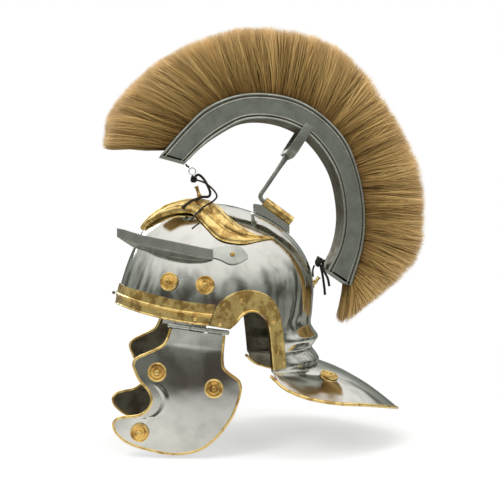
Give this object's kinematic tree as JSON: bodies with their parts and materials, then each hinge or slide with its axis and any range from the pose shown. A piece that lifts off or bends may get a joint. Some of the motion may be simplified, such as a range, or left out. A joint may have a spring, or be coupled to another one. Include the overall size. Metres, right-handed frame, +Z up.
{
  "type": "legionary helmet",
  "caption": "Roman legionary helmet with brass brow band, eyebrows and ear guards, flared neck guard, hinged cheek guards and a tall horsehair crest on a fork",
  "frame": {"origin": "The inner crown of the bowl, on the plane of symmetry, where the wearer's head bears.", "axes": "+X is the wearer's left, -Y is the front, where the face looks, and +Z is up."},
  "size_m": [0.256, 0.3978, 0.497],
  "materials": {
    "polished_steel": "polished steel plate with soft dark reflections",
    "grey_steel": "satin grey steel",
    "brass": "polished warm brass",
    "horsehair": "golden brown horsehair, darker at the roots",
    "black_leather": "black leather thong, dull"
  },
  "bodies": {
    "helmet": {"bowl": "polished_steel", "neck_rim": "brass", "brow_band": "brass", "ear_guard_left": "brass", "ear_guard_right": "brass", "brow_guard": "grey_steel", "eyebrow_left": "brass", "eyebrow_right": "brass", "hinge_leaf_left": "grey_steel", "hinge_pin_left": "grey_steel", "hinge_leaf_right": "grey_steel", "hinge_pin_right": "grey_steel", "rosette_bowl_left_1": "brass", "rosette_bowl_left_2": "brass", "rosette_neck_left": "brass", "rosette_bowl_right_1": "brass", "rosette_bowl_right_2": "brass", "rosette_neck_right": "brass", "rivet_band_left": "brass", "rivet_brow_left": "brass", "rivet_ear_left_1": "brass", "rivet_ear_left_2": "brass", "rivet_ear_left_3": "brass", "rivet_ear_left_4": "brass", "rivet_band_right": "brass", "rivet_brow_right": "brass", "rivet_ear_right_1": "brass", "rivet_ear_right_2": "brass", "rivet_ear_right_3": "brass", "rivet_ear_right_4": "brass", "crest_box": "grey_steel", "crest_hair": "horsehair", "crest_socket": "brass", "crest_bracket": "grey_steel", "crest_fork": "grey_steel", "hook_front": "brass", "hook_rear": "brass", "knot_front": "black_leather", "knot_rear": "black_leather", "ring_front": "grey_steel", "thong_front_long": "black_leather", "thong_front_thin": "black_leather", "thong_rear_long": "black_leather", "thong_front_loop": "black_leather", "thong_rear_short": "black_leather", "thong_rear_loop": "black_leather"},
    "cheek_left": {"cheek_plate_left": "polished_steel", "cheek_rim_left": "brass", "cheek_hinge_left": "grey_steel", "rosette_cheek_left_1": "brass", "rosette_cheek_left_2": "brass", "rosette_cheek_left_3": "brass"},
    "cheek_right": {"cheek_plate_right": "polished_steel", "cheek_rim_right": "brass", "cheek_hinge_right": "grey_steel", "rosette_cheek_right_1": "brass", "rosette_cheek_right_2": "brass", "rosette_cheek_right_3": "brass"}
  },
  "joints": [
    {"name": "cheek_left_hinge", "type": "hinge", "parent": "helmet", "child": "cheek_left", "pos_m": [0.0955, -0.0291, -0.1405], "axis": [-0.1616, -0.9784, 0.1293], "range_deg": [-15, 100]},
    {"name": "cheek_right_hinge", "type": "hinge", "parent": "helmet", "child": "cheek_right", "pos_m": [-0.0955, -0.0291, -0.1405], "axis": [-0.1616, 0.9784, -0.1293], "range_deg": [-15, 100]}
  ]
}
